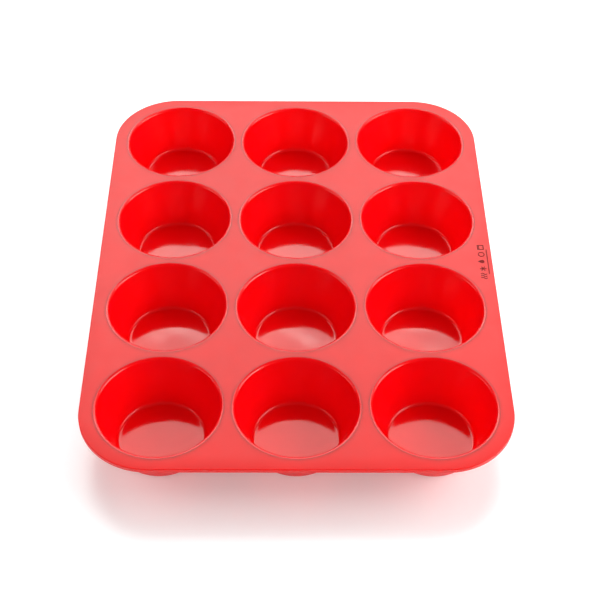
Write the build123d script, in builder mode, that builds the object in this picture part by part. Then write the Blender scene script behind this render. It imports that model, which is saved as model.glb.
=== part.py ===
from build123d import *

import os
from math import cos, radians, tan

# A flexible silicone muffin pan with twelve cups, in millimetres.
# +Z is up, +X runs across the pan and +Y along it. The origin is on the surface that the cups
# stand on, below the middle of the pan. The real pan is one moulding. Here it is divided into
# its flat deck and its cup shells, which meet the deck face to face at a round seam.

# Overall pan
pan_width = 250.0
pan_length = 325.0
corner_radius = 42.0

# Grid of cups
columns = 3
rows = 4
side_margin = 9.8  # deck between the side edge and the nearest mouth
end_margin = 9.1  # deck between the end edge and the nearest mouth
web = 6.8  # least deck between two mouths

# Deck
deck_thickness = 2.0
edge_height = 3.0  # depth of the thicker band that stiffens the deck's edge
edge_band = 4.0  # width of that band
edge_round = 0.5

# Cup shell
cup_depth = 30.0  # from the deck's top to the cup's inner floor
wall_draft = 18.0  # degrees from vertical
wall_thickness = 1.6
floor_thickness = 2.0
lip_radius = 2.0
inner_fillet = 2.5
outer_fillet = 3.5
shoulder_fillet = 1.0  # between the deck's underside and the outer wall
seam_land = 0.25  # flat ring of the cup between its last fillet and the seam

# Printed care symbols, which read along the right edge, and the rule below them
ink_thickness = 0.1
mark_edge_gap = 2.7  # from the pan's edge to the rule
mark_rule_width = 0.5
mark_rule_length = 22.0
mark_rule_gap = 1.2  # from the rule to the symbols
symbol_size = 4.2
symbol_pitch = 6.4
symbol_stroke = 0.55

# Sizes worked out from the ones above
pan_height = cup_depth + floor_thickness
deck_underside = pan_height - deck_thickness
mouth_radius = min(
    (pan_width - 2 * side_margin - (columns - 1) * web) / columns,
    (pan_length - 2 * end_margin - (rows - 1) * web) / rows,
) / 2
pitch_x = (pan_width - 2 * side_margin - 2 * mouth_radius) / (columns - 1)
pitch_y = (pan_length - 2 * end_margin - 2 * mouth_radius) / (rows - 1)
wall_slope = tan(radians(wall_draft))
wall_across = wall_thickness / cos(radians(wall_draft))  # the wall's thickness, measured level
fillet_reach = tan(radians(90 - wall_draft) / 2)  # how far a fillet of radius 1 reaches from its corner


def inner_radius(height):
    """Radius of a cup's inner wall at this height."""
    return mouth_radius - (pan_height - height) * wall_slope


def outer_radius(height):
    """Radius of a cup's outer wall at this height."""
    return inner_radius(height) + wall_across


seam_radius = seam_land + max(
    mouth_radius + lip_radius * fillet_reach,
    outer_radius(deck_underside) + shoulder_fillet * fillet_reach,
)


def cup_shell(x, y):
    """One cup with its floor, sloping wall and rounded lip, out to the seam with the deck."""
    base_middle = (0, 0)
    heel = (outer_radius(0), 0)
    shoulder = (outer_radius(deck_underside), deck_underside)
    seam_bottom = (seam_radius, deck_underside)
    seam_top = (seam_radius, pan_height)
    lip = (mouth_radius, pan_height)
    floor_corner = (inner_radius(floor_thickness), floor_thickness)
    floor_middle = (0, floor_thickness)
    with BuildPart() as cup:
        with BuildSketch(Plane(origin=(x, y, 0), x_dir=(1, 0, 0), z_dir=(0, -1, 0))):
            with BuildLine():
                FilletPolyline(
                    base_middle, heel, shoulder, seam_bottom, radius=[outer_fillet, shoulder_fillet]
                )
                Line(seam_bottom, seam_top)
                FilletPolyline(
                    seam_top, lip, floor_corner, floor_middle, radius=[lip_radius, inner_fillet]
                )
                Line(floor_middle, base_middle)
            make_face()
        revolve(axis=Axis((x, y, 0), (0, 0, 1)))
    return cup


def heat_waves():
    """Three upright strokes, each waved once to the left and once to the right."""
    half = (symbol_size - symbol_stroke) / 2
    for side in (-1, 0, 1):
        across = side * half
        with BuildLine() as wave:
            SagittaArc((across, -half), (across, 0), symbol_stroke)
            SagittaArc((across, 0), (across, half), -symbol_stroke)
        trace(wave.line, line_width=symbol_stroke)


def snowflake():
    """Three strokes that cross in the middle."""
    with PolarLocations(0, 3, start_angle=90, angular_range=180):
        SlotOverall(symbol_size, symbol_stroke)


def water_drop():
    """A drop with a round bottom and a pointed top."""
    drop_radius = symbol_size / 3
    lean = 60  # degrees from upright to where the sides leave the round, with the point at two radii
    with BuildLine() as outline:
        round_part = CenterArc((0, 0), drop_radius, 90 + lean, 360 - 2 * lean)
        Polyline(round_part @ 1, (0, 2 * drop_radius), round_part @ 0)
    make_face(outline.line)


def food_ring():
    """A plain ring."""
    Circle(symbol_size / 2)
    Circle(symbol_size / 2 - symbol_stroke, mode=Mode.SUBTRACT)


def oven_square():
    """A square outline with a bar across its top."""
    Rectangle(symbol_size, symbol_size)
    inside = symbol_size - 2 * symbol_stroke
    Rectangle(inside, inside, mode=Mode.SUBTRACT)
    with Locations((0, symbol_size / 2 - 2 * symbol_stroke)):
        Rectangle(symbol_size, symbol_stroke)


# Deck: a flat sheet with a thicker band round its edge and a round hole for each cup
with BuildPart() as deck:
    with BuildSketch(Plane.XY.offset(deck_underside)):
        RectangleRounded(pan_width, pan_length, corner_radius)
    extrude(amount=deck_thickness)
    with BuildSketch(Plane.XY.offset(pan_height - edge_height)):
        RectangleRounded(pan_width, pan_length, corner_radius)
        RectangleRounded(
            pan_width - 2 * edge_band,
            pan_length - 2 * edge_band,
            corner_radius - edge_band,
            mode=Mode.SUBTRACT,
        )
    extrude(amount=edge_height)
    with BuildSketch(Plane.XY.offset(deck_underside)):
        with GridLocations(pitch_x, pitch_y, columns, rows):
            Circle(seam_radius)
    extrude(amount=deck_thickness, mode=Mode.SUBTRACT)
    top_rim = deck.faces().sort_by(Axis.Z)[-1].outer_wire().edges()
    bottom_rim = deck.faces().sort_by(Axis.Z)[0].outer_wire().edges()
    fillet(top_rim + bottom_rim, radius=edge_round)

# Cups, counted from the front row and from the left column
cups = {}
for row in range(rows):
    for column in range(columns):
        cup_x = (column - (columns - 1) / 2) * pitch_x
        cup_y = (row - (rows - 1) / 2) * pitch_y
        cups[f"cup_r{row + 1}_c{column + 1}"] = cup_shell(cup_x, cup_y)

# Care mark: thin ink on the deck, drawn with the reader's right towards +Y
rule_x = pan_width / 2 - mark_edge_gap - mark_rule_width / 2
symbols_x = rule_x - mark_rule_width / 2 - mark_rule_gap - symbol_size / 2
symbols = [heat_waves, snowflake, water_drop, food_ring, oven_square]
with BuildPart() as care_mark:
    for place, symbol in enumerate(symbols):
        symbol_y = (place - (len(symbols) - 1) / 2) * symbol_pitch
        with BuildSketch(Plane(origin=(symbols_x, symbol_y, pan_height), x_dir=(0, 1, 0), z_dir=(0, 0, 1))):
            symbol()
        extrude(amount=ink_thickness)
    with BuildSketch(Plane(origin=(rule_x, 0, pan_height), x_dir=(0, 1, 0), z_dir=(0, 0, 1))):
        SlotOverall(mark_rule_length, mark_rule_width)
    extrude(amount=ink_thickness)

# One STEP file for each piece
os.makedirs("parts", exist_ok=True)
deck.part.label = "deck"
export_step(deck.part, "parts/deck.step")
for name, cup in cups.items():
    cup.part.label = name
    export_step(cup.part, f"parts/{name}.step")
care_mark.part.label = "care_mark"
export_step(care_mark.part, "parts/care_mark.step")
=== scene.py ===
from math import cos, hypot, pi, radians, sin, tan

import bmesh
import bpy
from mathutils import Matrix, Vector, noise
from mathutils.geometry import delaunay_2d_cdt


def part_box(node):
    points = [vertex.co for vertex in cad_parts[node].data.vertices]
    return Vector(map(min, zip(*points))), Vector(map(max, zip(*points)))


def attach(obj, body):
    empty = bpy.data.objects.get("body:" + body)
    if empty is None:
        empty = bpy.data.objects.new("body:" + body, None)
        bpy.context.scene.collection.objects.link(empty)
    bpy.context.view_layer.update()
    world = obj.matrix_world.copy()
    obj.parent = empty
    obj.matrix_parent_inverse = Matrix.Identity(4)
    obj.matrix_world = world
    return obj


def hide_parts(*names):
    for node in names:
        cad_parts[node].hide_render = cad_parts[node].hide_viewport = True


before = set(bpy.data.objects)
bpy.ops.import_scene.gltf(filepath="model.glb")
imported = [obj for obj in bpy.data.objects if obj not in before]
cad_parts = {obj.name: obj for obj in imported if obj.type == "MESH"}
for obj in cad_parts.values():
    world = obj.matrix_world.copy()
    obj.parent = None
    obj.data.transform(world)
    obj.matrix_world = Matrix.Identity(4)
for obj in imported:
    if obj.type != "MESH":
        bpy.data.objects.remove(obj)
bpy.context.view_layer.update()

# A red silicone muffin pan on a white studio floor. Lengths are in metres, in the CAD frame.
mm = 0.001

# Sizes that the CAD part has and that its nodes' boxes don't give
corner_radius = 42 * mm
deck_thickness = 2 * mm
edge_band = 4 * mm
edge_round = 0.5 * mm
mouth_radius = 35.8 * mm
wall_draft = radians(18)
wall_thickness = 1.6 * mm
floor_thickness = 2 * mm
lip_radius = 2 * mm
inner_fillet = 2.5 * mm
outer_fillet = 3.5 * mm
shoulder_fillet = 1 * mm

# Places that come from the frame
deck_low, deck_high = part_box("deck")
pan_height = deck_high.z
deck_underside = pan_height - deck_thickness
deck_centre = (deck_low + deck_high) / 2
cup_names = sorted(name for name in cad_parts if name.startswith("cup"))

# Each cup's round seam with the deck: its centre and its radius
seams = {}
for cup_name in cup_names:
    cup_low, cup_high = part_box(cup_name)
    seams[cup_name] = ((cup_low + cup_high) / 2).xy, (cup_high.x - cup_low.x) / 2

# How far the moulded inner floors swell, and how wide a swell is
floor_swell_height = 0.16 * mm
floor_swell_width = 17 * mm

# Fineness of the meshes
cup_segments = 160
ring_step = 1.5 * mm
corner_segments = 24
edge_arc_degrees = 15
deck_step = 5 * mm
same_height = 0.001 * mm
sharp_angle = radians(40)

# Textures: features to the metre, and the range that most of a noise's values fall in
mottle_scale = 45.0
haze_scale = 120.0
grain_scale = 2600.0
noise_low = 0.3
noise_high = 0.7


# ---------------------------------------------------------------- materials


def node_maker(material):
    """A short way to add a shader node with its inputs, which are values or other nodes' outputs."""
    tree = material.node_tree

    def make(kind, **inputs):
        node = tree.nodes.new(kind)
        for name, value in inputs.items():
            socket = node.inputs[name.replace("_", " ")]
            if isinstance(value, bpy.types.NodeSocket):
                tree.links.new(value, socket)
            else:
                socket.default_value = value
        return node

    return make


def new_material(name):
    """A material that uses nodes, with its main shader and a short way to add more nodes."""
    material = bpy.data.materials.new(name)
    material.use_nodes = True
    return material, material.node_tree.nodes["Principled BSDF"], node_maker(material)


def blend_tones(make, cover, dark_place, dark_tone, light_place, light_tone):
    """The colour between a dark and a light tone that a noise texture picks."""
    colours = make("ShaderNodeValToRGB", Fac=cover.outputs["Fac"])
    dark, light = colours.color_ramp.elements
    dark.position = dark_place
    dark.color = (*dark_tone, 1)
    light.position = light_place
    light.color = (*light_tone, 1)
    return colours.outputs["Color"]


def silicone(name, tones, roughness, roughness_spread, grain_height):
    """Red moulded silicone: translucent, faintly mottled, with a grain set by the mould's finish."""
    dark_tone, light_tone = tones
    material, shader, make = new_material(name)
    place = make("ShaderNodeTexCoord").outputs["Object"]

    mottle = make("ShaderNodeTexNoise", Vector=place, Scale=mottle_scale, Detail=4.0, Roughness=0.55)
    colour = blend_tones(make, mottle, noise_low, dark_tone, noise_high, light_tone)

    haze = make("ShaderNodeTexNoise", Vector=place, Scale=haze_scale, Detail=5.0, Roughness=0.6)
    rough = make("ShaderNodeMapRange", Value=haze.outputs["Fac"], From_Min=noise_low, From_Max=noise_high)
    rough.inputs["To Min"].default_value = roughness - roughness_spread
    rough.inputs["To Max"].default_value = roughness + roughness_spread

    grain = make("ShaderNodeTexNoise", Vector=place, Scale=grain_scale, Detail=3.0, Roughness=0.5)
    bump = make("ShaderNodeBump", Height=grain.outputs["Fac"], Strength=1.0, Distance=grain_height)

    links = material.node_tree.links
    links.new(colour, shader.inputs["Base Color"])
    links.new(rough.outputs["Result"], shader.inputs["Roughness"])
    links.new(bump.outputs["Normal"], shader.inputs["Normal"])
    shader.inputs["IOR"].default_value = 1.6
    shader.inputs["Specular Tint"].default_value = (1.0, 1.0, 0.94, 1)
    shader.inputs["Subsurface Weight"].default_value = 1.0
    shader.inputs["Subsurface Radius"].default_value = (1.0, 0.08, 0.05)
    shader.inputs["Subsurface Scale"].default_value = 4 * mm
    return material


def printed_ink():
    """Dull dark ink, thinner in places, so that the red shows through a little."""
    dark_ink = (0.16, 0.014, 0.012)
    thin_ink = (0.28, 0.022, 0.018)
    grain_height = 0.02 * mm
    material, shader, make = new_material("printed_ink")
    place = make("ShaderNodeTexCoord").outputs["Object"]
    cover = make("ShaderNodeTexNoise", Vector=place, Scale=900.0, Detail=4.0)
    colour = blend_tones(make, cover, 0.35, dark_ink, 0.75, thin_ink)
    grain = make("ShaderNodeTexNoise", Vector=place, Scale=3000.0)
    bump = make("ShaderNodeBump", Height=grain.outputs["Fac"], Distance=grain_height)
    links = material.node_tree.links
    links.new(colour, shader.inputs["Base Color"])
    links.new(bump.outputs["Normal"], shader.inputs["Normal"])
    shader.inputs["Roughness"].default_value = 0.7
    shader.inputs["Specular IOR Level"].default_value = 0.15
    return material


def floor_white():
    """Plain white acrylic sheet, glossy enough to take a faint red reflection of the pan."""
    material, shader, _ = new_material("studio_white")
    shader.inputs["Base Color"].default_value = (0.94, 0.93, 0.93, 1)
    shader.inputs["Roughness"].default_value = 0.3
    shader.inputs["IOR"].default_value = 2.3
    shader.inputs["Emission Color"].default_value = (1, 1, 1, 1)
    shader.inputs["Emission Strength"].default_value = 0.12
    return material


# Each finish has two tones, a roughness, how far the roughness varies, and the height of its grain
# The cups' semi-gloss and polished inner faces take lighter tones than the satin deck and cup outsides,
# though the silicone is one red all over: painted light inside the cups and painted shade on the deck and
# cup outsides.
deck_tones_painted_shade = (0.67, 0.0008, 0.0012), (0.71, 0.0015, 0.0020)
cup_tones_painted_light = (0.80, 0.0004, 0.0030), (0.84, 0.0007, 0.0040)
satin = silicone("silicone_satin", deck_tones_painted_shade, 0.40, 0.03, 0.012 * mm)
semi_gloss = silicone("silicone_semi_gloss", cup_tones_painted_light, 0.22, 0.03, 0.003 * mm)
polished = silicone("silicone_polished", cup_tones_painted_light, 0.09, 0.02, 0.001 * mm)
ink = printed_ink()

# The material slots of every shell. The deck has the first one alone.
finishes = [satin, semi_gloss, polished]
satin_slot = 0
semi_gloss_slot = 1
polished_slot = 2


# ---------------------------------------------------------------- meshes


def add_ring(mesh, points):
    """Vertices for one closed ring of points."""
    return [mesh.verts.new(point) for point in points]


def join_rings(mesh, first, second, slot=satin_slot):
    """A band of four-sided faces from one ring to the next."""
    count = len(first)
    for here in range(count):
        there = (here + 1) % count
        face = mesh.faces.new((first[here], first[there], second[there], second[here]))
        face.material_index = slot


def close_ring(mesh, ring, middle, slot=satin_slot):
    """A fan of triangles from a ring to one point."""
    tip = mesh.verts.new(middle)
    count = len(ring)
    for here in range(count):
        face = mesh.faces.new((ring[here], ring[(here + 1) % count], tip))
        face.material_index = slot


def finish_piece(name, mesh, materials, node):
    """Turns a bmesh into a smooth piece that stands for one CAD node."""
    bmesh.ops.recalc_face_normals(mesh, faces=mesh.faces)
    data = bpy.data.meshes.new(name)
    mesh.to_mesh(data)
    mesh.free()
    for material in materials:
        data.materials.append(material)
    data.shade_smooth()
    data.set_sharp_from_angle(angle=sharp_angle)
    piece = bpy.data.objects.new(name, data)
    bpy.context.scene.collection.objects.link(piece)
    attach(piece, "root")
    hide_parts(node)


def straight(start, end, step):
    """Evenly spaced points after start, up to and with end, about a step apart."""
    count = max(1, round(hypot(end[0] - start[0], end[1] - start[1]) / step))
    return [
        (start[0] + (end[0] - start[0]) * k / count, start[1] + (end[1] - start[1]) * k / count)
        for k in range(1, count + 1)
    ]


def rounded_path(corners, radii, step, arc_steps=8):
    """A path through corners, each inner corner rounded by its own radius."""
    path = [corners[0]]
    for before, corner, after, radius in zip(corners, corners[1:], corners[2:], radii):
        back = Vector(before) - Vector(corner)
        on = Vector(after) - Vector(corner)
        turn = pi - back.angle(on)
        reach = radius * tan(turn / 2)
        entry = Vector(corner) + back.normalized() * reach
        leave = Vector(corner) + on.normalized() * reach
        towards = (back.normalized() + on.normalized()).normalized()
        centre = Vector(corner) + towards * (radius / cos(turn / 2))
        path += straight(path[-1], entry, step)
        spoke = entry - centre
        sign = 1 if back.x * on.y - back.y * on.x < 0 else -1
        for k in range(1, arc_steps + 1):
            angle = sign * turn * k / arc_steps
            path.append(
                (
                    centre.x + spoke.x * cos(angle) - spoke.y * sin(angle),
                    centre.y + spoke.x * sin(angle) + spoke.y * cos(angle),
                )
            )
        path[-1] = tuple(leave)
    return path + straight(path[-1], corners[-1], step)


def circle(centre, radius):
    """Evenly spaced places round a circle, as x and y."""
    angles = [2 * pi * step / cup_segments for step in range(cup_segments)]
    return [(centre.x + radius * cos(angle), centre.y + radius * sin(angle)) for angle in angles]


def inner_radius(height):
    """Radius of a cup's inner wall at this height."""
    return mouth_radius - (pan_height - height) * tan(wall_draft)


def outer_radius(height):
    """Radius of a cup's outer wall at this height."""
    return inner_radius(height) + wall_thickness / cos(wall_draft)


def floor_swell(x, y, radius):
    """How much the moulded inner floor swells, fading out towards its fillet."""
    floor_radius = inner_radius(floor_thickness) - inner_fillet
    fade = max(0.0, 1 - radius / floor_radius) ** 0.5
    return floor_swell_height * fade * noise.noise(Vector((x, y, 0)) / floor_swell_width)


def build_cup(name):
    """A cup shell turned from its section: satin outside, semi-gloss inside, with a polished floor."""
    centre, seam_radius = seams[name]
    outside = rounded_path(
        [
            (0, 0),
            (outer_radius(0), 0),
            (outer_radius(deck_underside), deck_underside),
            (seam_radius, deck_underside),
        ],
        [outer_fillet, shoulder_fillet],
        ring_step,
    )
    inside = rounded_path(
        [
            (seam_radius, pan_height),
            (mouth_radius, pan_height),
            (inner_radius(floor_thickness), floor_thickness),
            (0, floor_thickness),
        ],
        [lip_radius, inner_fillet],
        ring_step,
    )
    mesh = bmesh.new()
    rings = []
    land = len(outside) - 1  # the place of the flat ring between the seam and the lip
    for place, (radius, height) in enumerate(outside[1:] + inside[:-1]):
        is_floor = place > land and abs(height - floor_thickness) < same_height
        points = []
        for x, y in circle(centre, radius):
            lift = floor_swell(x, y, radius) if is_floor else 0
            points.append((x, y, height + lift))
        rings.append(add_ring(mesh, points))
    # The polish runs from the floor a little way up its fillet
    polish_top = floor_thickness + floor_swell_height
    for place, (first, second) in enumerate(zip(rings, rings[1:])):
        inner_slot = polished_slot if first[0].co.z < polish_top else semi_gloss_slot
        join_rings(mesh, first, second, slot=inner_slot if place > land else satin_slot)
    close_ring(mesh, rings[0], (centre.x, centre.y, 0))
    middle_lift = floor_swell(centre.x, centre.y, 0)
    middle = (centre.x, centre.y, floor_thickness + middle_lift)
    close_ring(mesh, rings[-1], middle, slot=polished_slot)
    finish_piece(name + "_shell", mesh, finishes, name)


def deck_outline(inset, height):
    """Points round the pan's outline, moved in by inset, with its corners as arcs."""
    half_x = deck_high.x - inset
    half_y = deck_high.y - inset
    radius = corner_radius - inset
    arcs = []
    for quarter in range(4):
        way_x = 1 if quarter in (0, 3) else -1
        way_y = 1 if quarter in (0, 1) else -1
        middle = (way_x * (half_x - radius), way_y * (half_y - radius))
        for step in range(corner_segments + 1):
            angle = (quarter + step / corner_segments) * pi / 2
            arcs.append((middle[0] + radius * cos(angle), middle[1] + radius * sin(angle)))
    # The long straight sides get points of their own
    points = []
    for here, there in zip(arcs, arcs[1:] + arcs[:1]):
        points.append(here)
        gap = hypot(there[0] - here[0], there[1] - here[1])
        if gap > 3 * deck_step:
            points += straight(here, there, deck_step)[:-1]
    return [(x, y, height) for x, y in points]


def fill_sheet(mesh, rim, holes, height):
    """Fills a flat sheet between its rim ring and its hole rings with even triangles."""
    rings = [rim] + holes
    known = [vertex for ring in rings for vertex in ring]
    edges = []
    start = 0
    for ring in rings:
        count = len(ring)
        edges += [(start + k, start + (k + 1) % count) for k in range(count)]
        start += count
    low_x = min(v.co.x for v in rim)
    low_y = min(v.co.y for v in rim)
    across = round((max(v.co.x for v in rim) - low_x) / deck_step)
    along = round((max(v.co.y for v in rim) - low_y) / deck_step)
    extra = []
    for column in range(1, across):
        for row in range(1, along):
            x = low_x + column * deck_step + (row % 2) * deck_step / 2
            y = low_y + row * deck_step
            if clear_of_edges(x, y):
                extra.append(mesh.verts.new((x, y, height)))
    known += extra
    flat = [Vector((v.co.x, v.co.y)) for v in known]
    inside_edges = 1  # the kind of result that leaves out what lies outside the edges
    merge_distance = 1e-7
    _, _, triangles, _, _, _ = delaunay_2d_cdt(flat, edges, [], inside_edges, merge_distance)
    # Every triangle becomes a face, except those that lie within a hole
    for triangle in triangles:
        corners = [known[k] for k in triangle]
        middle = sum((v.co for v in corners), Vector()) / 3
        if all((middle.xy - centre).length > radius for centre, radius in seams.values()):
            mesh.faces.new(corners)


def clear_of_edges(x, y):
    """Whether a point of the sheet stands clear of each hole and of the rim."""
    gap = deck_step / 2
    if any((Vector((x, y)) - centre).length < radius + gap for centre, radius in seams.values()):
        return False
    inset = edge_band + gap
    over_x = abs(x) - (deck_high.x - corner_radius)
    over_y = abs(y) - (deck_high.y - corner_radius)
    if over_x > 0 and over_y > 0:
        return hypot(over_x, over_y) < corner_radius - inset
    return abs(x) < deck_high.x - inset and abs(y) < deck_high.y - inset


def build_deck():
    """The flat deck with its rounded, thicker edge and a round hole for each cup."""
    mesh = bmesh.new()
    edge_bottom = deck_low.z
    arc = [radians(angle) for angle in range(0, 91, edge_arc_degrees)]
    section = [(edge_round * (1 - sin(a)), pan_height - edge_round * (1 - cos(a))) for a in arc]
    section += [(edge_round * (1 - cos(a)), edge_bottom + edge_round * (1 - sin(a))) for a in arc]
    section += [(edge_band, edge_bottom), (edge_band, deck_underside)]
    rings = [add_ring(mesh, deck_outline(inset, height)) for inset, height in section]
    for first, second in zip(rings, rings[1:]):
        join_rings(mesh, first, second)
    top_holes = []
    bottom_holes = []
    for centre, radius in seams.values():
        for holes, height in ((top_holes, pan_height), (bottom_holes, deck_underside)):
            holes.append(add_ring(mesh, [(x, y, height) for x, y in circle(centre, radius)]))
        join_rings(mesh, top_holes[-1], bottom_holes[-1])
    fill_sheet(mesh, rings[0], top_holes, pan_height)
    fill_sheet(mesh, rings[-1], bottom_holes, deck_underside)
    finish_piece("deck_sheet", mesh, [satin], "deck")


build_deck()
for cup_name in cup_names:
    build_cup(cup_name)
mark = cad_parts["care_mark"]
mark.data.materials.clear()
mark.data.materials.append(ink)


# ---------------------------------------------------------------- studio


def studio_floor():
    """A wide white floor that the cups stand on."""
    half = 4.0
    data = bpy.data.meshes.new("studio_floor")
    corners = [(-half, -half, 0), (half, -half, 0), (half, half, 0), (-half, half, 0)]
    data.from_pydata(corners, [], [(0, 1, 2, 3)])
    data.materials.append(floor_white())
    floor = bpy.data.objects.new("studio_floor", data)
    bpy.context.scene.collection.objects.link(floor)


def softbox(name, direction, distance, width, height, radiance, seen_in_gloss=True):
    """A soft rectangular light that faces the pan. Radiance is the brightness of its face."""
    data = bpy.data.lights.new(name, "AREA")
    data.shape = "RECTANGLE"
    data.size = width
    data.size_y = height
    data.energy = radiance * pi * width * height
    lamp = bpy.data.objects.new(name, data)
    way = Vector(direction).normalized()
    lamp.location = deck_centre + way * distance
    lamp.rotation_euler = way.to_track_quat("Z", "Y").to_euler()
    lamp.visible_camera = False
    lamp.visible_glossy = seen_in_gloss
    bpy.context.scene.collection.objects.link(lamp)


def studio_light():
    """A bright wall of light behind, softboxes at both sides, and fills that leave no highlights."""
    world = bpy.data.worlds.new("studio_air")
    bpy.context.scene.world = world
    world.use_nodes = True
    air = world.node_tree.nodes["Background"]
    air.inputs["Color"].default_value = (1, 1, 1, 1)
    air.inputs["Strength"].default_value = 0.05
    # Direction from the pan, distance, width, height and radiance
    softbox("back_light", (0, 0.78, 0.62), 2.2, 2.2, 0.75, 3.6)
    softbox("back_top_light", (0, 0.60, 0.80), 2.2, 2.2, 0.5, 2.4)
    softbox("right_light", (0.87, -0.16, 0.46), 1.4, 1.2, 0.6, 5.5)
    softbox("right_fill", (0.78, 0.08, 0.62), 1.4, 1.2, 0.6, 3.5, seen_in_gloss=False)
    softbox("left_light", (-0.87, -0.12, 0.46), 1.4, 1.0, 0.5, 1.8)
    softbox("left_fill", (-0.78, 0.08, 0.62), 1.4, 1.0, 0.5, 2.4, seen_in_gloss=False)
    softbox("front_fill", (0, -0.87, 0.50), 4.0, 5.0, 1.6, 2.9, seen_in_gloss=False)
    softbox("top_fill", (0, 0.50, 0.87), 2.2, 2.0, 0.8, 1.5, seen_in_gloss=False)


def studio_camera():
    """The camera, placed by the point of the deck that it looks at."""
    aim_right = 2.3 * mm
    aim_front = 34 * mm
    distance = 0.8151
    elevation = radians(46.83)
    azimuth = radians(0.89)
    roll = radians(0.80)
    aim = Vector((deck_centre.x + aim_right, deck_centre.y - aim_front, pan_height))
    back = Vector((-sin(azimuth) * cos(elevation), -cos(azimuth) * cos(elevation), sin(elevation)))
    data = bpy.data.cameras.new("studio_camera")
    data.sensor_width = 36
    data.lens = 79.13
    camera = bpy.data.objects.new("studio_camera", data)
    turn = Matrix.Rotation(-azimuth, 4, "Z") @ Matrix.Rotation(pi / 2 - elevation, 4, "X")
    camera.matrix_world = Matrix.Translation(aim + back * distance) @ turn @ Matrix.Rotation(roll, 4, "Z")
    bpy.context.scene.collection.objects.link(camera)
    bpy.context.scene.camera = camera


studio_floor()
studio_light()
studio_camera()
bpy.context.scene.view_settings.view_transform = "Standard"
